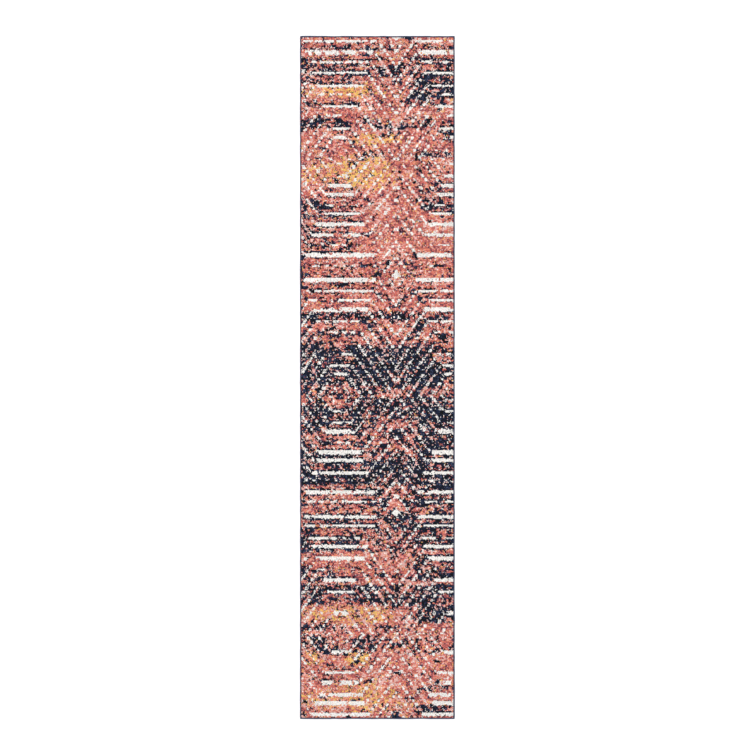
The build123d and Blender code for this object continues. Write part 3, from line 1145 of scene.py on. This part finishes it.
@dataclass
class SergedEdge:
    """One side's overcast edge: yarn wrapped slantwise round the cord, mitred at the corners."""

    side: Side
    finish: YarnFinish
    half_width: float = 0.340
    half_length: float = 1.500
    corner_radius: float = 0.004
    height: float = 0.0062
    nose: float = 0.0031
    back_leg: float = 0.010
    sole: float = 0.0065
    crest_in: float = 0.0052
    crest_up: float = 0.0057
    face_leg: float = 0.007
    lip: float = 0.0052
    ground_margin: float = 0.0055
    ground_low: float = 0.0008
    ground_top: float = 0.003
    wrap_pitch: float = 0.0024
    wrap_depth: float = 0.00045
    slant: float = 0.0035
    wander: float = 0.0009
    wander_length: float = 0.028
    unevenness: float = 0.00018

    def build(self) -> bpy.types.Object:
        """Build and dress the side's serging.

        Returns:
            The finished piece.
        """
        share, outward = self.route()
        drop, level, wrapped = self.section()
        count = len(share)
        steps = np.arange(count)
        to_end = np.minimum(steps, count - 1 - steps)
        # Each wrap is three steps: a groove and two steps of yarn that stand above it.
        ridge = np.where(steps % 3 == 0, -self.wrap_depth, 0.0) * (to_end > 2)
        ridge = ridge + (white_noise((count,), 80 + self.number()) - 0.5) * self.unevenness
        inset = drop[None, :] - ridge[:, None] * wrapped[None, :, 0]
        z = level[None, :] + ridge[:, None] * wrapped[None, :, 1]
        run = steps * self.wrap_pitch / 3
        wobble = value_noise(run, run * 0, self.wander_length, 1.0, 90 + self.number()) - 0.5
        wobble = wobble * 2 * self.wander * np.clip(to_end / 12, 0, 1)
        inset = inset - wobble[:, None] * np.clip(1 - inset / self.face_leg, 0, 1)
        tangent = np.stack([-outward[:, 1], outward[:, 0]], axis=-1)
        lean = self.slant * np.clip(to_end / 15, 0, 1)[:, None] * (level / self.height - 0.5)[None, :]
        plan = self.plan(share, outward, inset)
        plan = plan + tangent[:, None, :] * (lean * (wrapped[None, :, 0] != 0))[..., None]
        points = np.concatenate([plan, np.maximum(z, 0)[..., None]], axis=-1)
        name = f"{self.label()}_serging_wrap"
        piece = mesh_object(name, points.reshape(-1, 3), tube_polygons(count, len(drop)))
        return settle(piece, "serging_yarn", self.finish.make(), f"{self.label()}_serging")

    def label(self) -> str:
        """The side's name in lower case, as the CAD nodes have it."""
        return self.side.name.lower()

    def number(self) -> int:
        """A whole number of the side's own, for its random seeds."""
        return list(Side).index(self.side)

    def axes(self) -> tuple[np.ndarray, np.ndarray]:
        """The side's outward direction, and the direction along it, a quarter turn on."""
        direction = np.array(self.side.value, dtype=float)
        return direction, np.array([-direction[1], direction[0]])

    def half_run(self) -> float:
        """Half of the side's straight length, up to where its corners start."""
        return (self.half_length if self.side.value[0] else self.half_width) - self.corner_radius

    def route(self) -> tuple[np.ndarray, np.ndarray]:
        """The side's steps, in thirds of a wrap, from mid-corner to mid-corner.

        Half of the corner's arc, then the straight, then half of the next arc, counter-clockwise.

        Returns:
            How far along the straight each step is, from -1 to 1, and its outward direction.
        """
        direction, along = self.axes()
        total = 2 * (self.half_run() + math.pi / 4 * self.corner_radius)
        count = int(total / self.wrap_pitch) * 3 + 1
        s = np.linspace(-total / 2, total / 2, count)
        turn = np.sign(s) * np.clip(np.abs(s) - self.half_run(), 0, None) / self.corner_radius
        outward = np.cos(turn)[:, None] * direction + np.sin(turn)[:, None] * along
        return np.clip(s / self.half_run(), -1, 1), outward

    def plan(self, share: np.ndarray, outward: np.ndarray, inset: np.ndarray) -> np.ndarray:
        """Places in plan of points that lie the given distances inside the rug's outer line.

        A line at an inset turns the corner on what is left of the corner's radius, and past that
        it is mitred, so that its straight ends where the inset reaches the neighbouring side's.

        Args:
            share: how far along the straight each step is.
            outward: each step's outward direction.
            inset: distances in from the outer line, steps by points of the section.

        Returns:
            An array of steps, by points of the section, by 2.
        """
        direction, along = self.axes()
        reach = self.half_width if direction[0] else self.half_length
        radius = np.maximum(self.corner_radius - inset, 0.0002)
        centre = inset + radius
        run = self.half_run() + self.corner_radius - centre
        return (
            (reach - centre)[..., None] * direction
            + (share[:, None] * run)[..., None] * along
            + radius[..., None] * outward[:, None, :]
        )

    def section(self) -> tuple[np.ndarray, np.ndarray, np.ndarray]:
        """The wrap's section, from the end of its back leg round the nose and back inside.

        Returns:
            Distance in from the outer line, height, and the outward direction of the relief,
            which is nought where the wrap lies against the rug.
        """
        turn = np.linspace(-math.pi / 2, math.pi / 2, 7)
        nose_in = self.nose - self.nose * np.cos(turn)
        nose_up = self.nose + self.nose * np.sin(turn)
        drop = np.concatenate(
            [[self.back_leg, self.sole], nose_in, [self.crest_in, self.face_leg]]
            + [[self.face_leg, self.ground_margin, self.ground_margin, self.back_leg]]
        )
        level = np.concatenate(
            [[0.0, 0.0], nose_up, [self.crest_up, self.lip]]
            + [[self.ground_top, self.ground_top, self.ground_low, self.ground_low]]
        )
        relief = np.zeros((len(drop), 2))
        relief[2:9, 0] = np.cos(turn)
        relief[2:9, 1] = np.sin(turn)
        relief[9:11] = (0.2, 0.98)
        relief[0:3] = (0.0, -1.0)
        return drop, level, relief


@dataclass
class GroundWeave:
    """The woven ground between latex and pile: two layers of jute weft with warps between."""

    jute: YarnFinish
    warp: YarnFinish
    half_width: float = 0.3345
    half_length: float = 1.4945
    weft_pitch: float = 0.00359
    warp_pitch: float = 0.00333
    relief: float = 0.00025
    levels: tuple[float, ...] = (0.0008, 0.0016, 0.0022, 0.0030)

    def build(self, below: bpy.types.Object) -> list[bpy.types.Object]:
        """Build and dress the three layers.

        Args:
            below: what the lowest layer lies on; not used.

        Returns:
            The layers, from below.
        """
        jute, cotton = self.jute.make(), self.warp.make()
        layers = []
        for (low, high), (name, slot, material, pitch) in zip(
            zip(self.levels[:-1], self.levels[1:]),
            (
                ("jute_back_weft", "jute_weft", jute, self.weft_pitch),
                ("cotton_stuffer_warp", "stuffer_warp", cotton, self.warp_pitch),
                ("jute_face_weft", "jute_weft", jute, self.weft_pitch),
            ),
        ):
            piece = self.layer(name, low, high, pitch, across=slot == "jute_weft")
            settle(piece, slot, material, name.split("_", 1)[1])
            layers.append(piece)
        return layers

    def layer(self, name: str, low: float, high: float, pitch: float, across: bool) -> bpy.types.Object:
        """One layer of parallel yarns, as a slab whose top rises over each yarn and dips between.

        Args:
            name: the piece's name.
            low: height of its flat underside.
            high: height of the yarns' crowns.
            pitch: yarn spacing.
            across: whether the yarns lie across the rug.

        Returns:
            The closed layer.
        """
        run = self.half_length if across else self.half_width
        yarns = round(2 * run / pitch)
        fine = np.linspace(-run, run, 2 * yarns + 1)
        coarse_run = self.half_width if across else self.half_length
        coarse = np.linspace(-coarse_run, coarse_run, 9 if across else 33)
        x, y = np.meshgrid(coarse, fine) if across else np.meshgrid(fine, coarse)
        groove = (np.arange(len(fine)) % 2 == 0) * self.relief
        z = high - (groove[:, None] if across else groove[None, :]) + np.zeros(x.shape)
        return plumb_slab(name, x, y, z, low)


@dataclass
class LatexBack:
    """The latex coat under the ground weave, with a dent for the label and grooves for the tails."""

    finish: LatexFinish = field(default_factory=LatexFinish)
    half_width: float = 0.330
    half_length: float = 1.490
    thickness: float = 0.0008
    unevenness: float = 0.00015
    dent: float = 0.00045
    groove: float = 0.0005
    wall_run: float = 0.0002
    tolerance: float = 1e-6
    tail_x: float = 0.322
    tail_y: tuple[float, float] = (TAIL_END - TAIL_LENGTH, TAIL_END)
    tail_width: float = TAIL_WIDTH
    label_low: tuple[float, float] = (0.219, -1.441)
    label_high: tuple[float, float] = (0.281, -1.399)

    def build(self) -> bpy.types.Object:
        """Build and dress the coat.

        Returns:
            The finished piece.
        """
        step = self.wall_run
        tail_edges = [
            side * (self.tail_x + flank * self.tail_width / 2 + flank * e)
            for side in (-1, 1)
            for flank in (-1, 1)
            for e in (0, step)
        ]
        label_edges = [v + e for v in (self.label_low[0], self.label_high[0]) for e in (0, step)]
        across = np.union1d(np.linspace(-self.half_width, self.half_width, 111), tail_edges + label_edges)
        tail_ends = [s * v + e for s in (-1, 1) for v in self.tail_y for e in (-step, 0)]
        label_ends = [v + e for v in (self.label_low[1], self.label_high[1]) for e in (0, step)]
        along = np.union1d(np.linspace(-self.half_length, self.half_length, 497), tail_ends + label_ends)
        x, y = np.meshgrid(across, along)
        z = self.unevenness * value_noise(x, y, 0.03, 0.02, 101)
        hair = self.tolerance
        in_tail = np.abs(np.abs(x) - self.tail_x) <= self.tail_width / 2 + hair
        in_tail &= np.abs(np.abs(y) - sum(self.tail_y) / 2) <= (self.tail_y[1] - self.tail_y[0]) / 2 + hair
        in_label = (x > self.label_low[0] + hair) & (x < self.label_high[0] + hair)
        in_label &= (y > self.label_low[1] + hair) & (y < self.label_high[1] + hair)
        z = np.where(in_tail, self.groove, z)
        z = np.where(in_label, self.dent, z)
        piece = plumb_slab("latex_back_coat", x, y, z, self.thickness, face_down=True)
        return settle(piece, "latex", self.finish.make(), "latex_backcoat")


@dataclass
class CareLabel:
    """A blank woven label, sewn flat into its dent in the latex, with its face to the floor."""

    finish: TwillFinish = field(default_factory=TwillFinish)
    stitch_inset: float = 0.0025
    fullness: float = 0.00007
    curl: float = 0.00005
    step: float = 0.001

    def build(self) -> bpy.types.Object:
        """Between the stitches the tape stands a little full: its face lies lower by the fullness
        times the product of a half sine wave each way, and its rim curls down past the stitches.

        Returns:
            The finished piece.
        """
        low, high = (np.array(corner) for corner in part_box("care_label"))
        width, length, _ = high - low
        across = np.linspace(low[0], high[0], round(width / self.step) + 1)
        along = np.linspace(low[1], high[1], round(length / self.step) + 1)
        x, y = np.meshgrid(across, along)
        inset = self.stitch_inset
        from_rim = np.minimum(np.minimum(x - low[0], high[0] - x), np.minimum(y - low[1], high[1] - y))
        rise_x = np.sin(np.clip((x - low[0] - inset) / (width - 2 * inset), 0, 1) * math.pi)
        rise_y = np.sin(np.clip((y - low[1] - inset) / (length - 2 * inset), 0, 1) * math.pi)
        curled = self.curl * np.clip(1 - from_rim / inset, 0, 1)
        z = low[2] - self.fullness * np.sqrt(rise_x * rise_y) - curled
        piece = plumb_slab("woven_care_label", x, y, z, high[2], face_down=True)
        settle(piece, "label", self.finish.make(), "care_label")
        return piece


@dataclass
class YarnTails:
    """The four ends of serging yarn, glued flat into grooves in the latex at the corners."""

    finish: YarnFinish
    length: float = TAIL_LENGTH
    width: float = TAIL_WIDTH
    plies: int = 3
    twist_pitch: float = 0.005
    groove_depth: float = 0.14
    clearance: float = 0.00004
    around: int = 24
    steps: int = 81

    def build(self) -> bpy.types.Object:
        """Build and dress the tails as one piece.

        A tail is an oval tube.  Its section shrinks by the groove depth times the size of the sine
        of half the plies times the angle, which turns along the tail once in a twist pitch, and its
        ends round off as a half circle does.

        Returns:
            The finished piece.
        """
        low, high = (np.array(corner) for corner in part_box("yarn_tails"))
        place = np.linspace(0, 1, self.steps)
        from_end = np.minimum(place, 1 - place) * self.length / (self.width / 2)
        taper = np.sqrt(np.clip(1 - (1 - np.clip(from_end, 0.02, 1)) ** 2, 0, 1))
        angle = np.linspace(0, math.tau, self.around, endpoint=False)
        turned = angle[None, :] + math.tau * place[:, None] * self.length / self.twist_pitch
        size = taper[:, None] * (1 - self.groove_depth * np.abs(np.sin(self.plies / 2 * turned)))
        middle = (high[2] - low[2]) / 2
        x = (self.width / 2 - self.clearance) * size * np.cos(angle)
        z = middle + (middle - self.clearance) * size * np.sin(angle)
        y = np.repeat((place * self.length)[:, None], self.around, axis=1)
        tube = tube_polygons(self.steps, self.around)
        points, polygons = [], []
        for start_y in (high[1] - self.length, low[1]):
            for hand in (-1, 1):
                polygons += [part + len(points) * x.size for part in tube]
                start_x = (high[0] - self.width / 2) * hand
                points.append(np.stack([x + start_x, y + start_y, z], axis=-1).reshape(-1, 3))
        piece = mesh_object("serging_yarn_tails", np.concatenate(points), polygons)
        return settle(piece, "serging_yarn", self.finish.make(), "yarn_tails")


@dataclass
class EdgeCords:
    """The filler cords inside the serging, which keep their CAD shape."""

    finish: YarnFinish

    def dress(self) -> None:
        """Give every cord its twisted cotton."""
        cotton = self.finish.make()
        for side in Side:
            dress_node(f"{side.name.lower()}_edge_cord", cotton)


def dress_node(node: str, material: bpy.types.Material) -> None:
    """Give the CAD node of that name its material."""
    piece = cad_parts[node]
    piece.data.materials.clear()
    piece.data.materials.append(material)
    log.info("%s: CAD node in %s", piece.name, material.name)


# ------------------------------------------------------------------ room


@dataclass
class Studio:
    """A pale floor, soft even light and a camera that looks straight down."""

    floor_colour: str = "FFFFFF"
    floor_size: float = 80.0
    floor_gap: float = 0.0002
    floor_glow: float = 0.2
    sky_strength: float = 1.0
    lamp_size: float = 4.0
    lamp_power: float = 40.0
    lamp_place: tuple[float, float, float] = (-1.6, 1.6, 4.5)
    lamp_tilt: float = math.radians(18)
    view_width: float = 3.316
    aim: tuple[float, float] = (0.0006, 0.0)
    camera_height: float = 4.0

    def build(self) -> None:
        """Set up the floor, the lights and the camera."""
        self.lay_floor()
        self.hang_lights()
        self.place_camera()

    def lay_floor(self) -> None:
        """A flat floor, a hair below the rug, in matt white with a little glow against its shade."""
        x, y = np.array([(-1, -1), (1, -1), (1, 1), (-1, 1)]).T * self.floor_size / 2
        points = np.stack([x, y, np.full(4, -self.floor_gap)], axis=-1)
        floor = mesh_object("floor", points, [np.array([[0, 1, 2, 3]])], smooth=False)
        material = bpy.data.materials.new("matt white studio floor")
        material.use_nodes = True
        tree = material.node_tree
        tree.nodes.clear()
        colour = linear_colour(self.floor_colour)
        paint = add_node(tree, "BsdfDiffuse", {"Color": colour})
        glow = add_node(tree, "Emission", {"Color": colour, "Strength": self.floor_glow})
        both = add_node(tree, "AddShader", links={0: paint, 1: glow})
        add_node(tree, "OutputMaterial", links={"Surface": both})
        floor.data.materials.append(material)
        floor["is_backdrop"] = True

    def hang_lights(self) -> None:
        """An even white world, and one broad soft lamp from the upper left."""
        world = bpy.data.worlds.new("soft studio")
        world.use_nodes = True
        background = world.node_tree.nodes["Background"]
        background.inputs["Color"].default_value = (1.0, 1.0, 1.0, 1.0)
        background.inputs["Strength"].default_value = self.sky_strength
        bpy.context.scene.world = world
        lamp = bpy.data.lights.new("overhead softbox", "AREA")
        lamp.shape = "SQUARE"
        lamp.size = self.lamp_size
        lamp.energy = self.lamp_power
        holder = bpy.data.objects.new("overhead softbox", lamp)
        holder.location = self.lamp_place
        holder.rotation_euler = (-self.lamp_tilt, -self.lamp_tilt, 0)
        bpy.context.scene.collection.objects.link(holder)

    def place_camera(self) -> None:
        """A parallel view straight down, with the head of the rug at the top of the frame."""
        camera = bpy.data.cameras.new("camera")
        camera.type = "ORTHO"
        camera.ortho_scale = self.view_width
        camera.clip_end = 50.0
        holder = bpy.data.objects.new("camera", camera)
        holder.location = (*self.aim, self.camera_height)
        bpy.context.scene.collection.objects.link(holder)
        bpy.context.scene.camera = holder
        bpy.context.scene.view_settings.view_transform = "Standard"


def write_sizes() -> None:
    """Work out the CAD model's box and the visual model's box as plain numbers; neither is kept."""

    def plain(value: Any) -> Any:
        """The same box as nested lists of numbers."""
        return [plain(v) for v in value] if hasattr(value, "__len__") else float(value)

    {"cad": plain(cad_bounds), "visual": plain(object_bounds())}


def main() -> None:
    """Build every part of the rug, its floor, lights and camera."""
    logging.basicConfig(level=logging.INFO, format="%(name)s: %(message)s")
    jute = YarnFinish("jute yarn", roughness=0.9, light="C3A277", dark="8B6A45", streak_across=0.0009)
    warp_cotton = YarnFinish(
        "polyester-cotton warp yarn",
        roughness=0.8,
        light="E6DFD0",
        dark="B9AE98",
        streak_axis=1,
        streak_across=0.0008,
    )
    white_cord = YarnFinish(
        "twisted cotton cord", roughness=0.85, light="EFE9DC", dark="C9BFAA", streak_across=0.0008
    )
    CutPile().build()
    for side in Side:
        yarn = YarnFinish(
            "serging yarn",
            roughness=0.8,
            sheen=0.15,
            bump=0.0002,
            light="3A4A70",
            dark="1B2338",
            streak_across=0.0012,
            streak_along=0.006,
            streak_axis=0 if side.value[0] else 1,
            fleck="B45E5A",
            fleck_share=0.25 if side is Side.LEFT else 0.1,
        )
        SergedEdge(side, yarn).build()
    latex = LatexBack().build()
    GroundWeave(jute, warp_cotton).build(latex)
    EdgeCords(white_cord).dress()
    tail_yarn = YarnFinish("serging yarn tail", roughness=0.8, light="3A4A70", dark="1B2338", streak_axis=1)
    thread = YarnFinish(
        "polyester sewing thread", roughness=0.6, light="F4F2EC", dark="D8D5CC", streak_across=0.0004
    )
    YarnTails(tail_yarn).build()
    CareLabel().build()
    dress_node("label_stitches", thread.make())
    Studio().build()
    write_sizes()


if __name__ == "__main__":
    main()
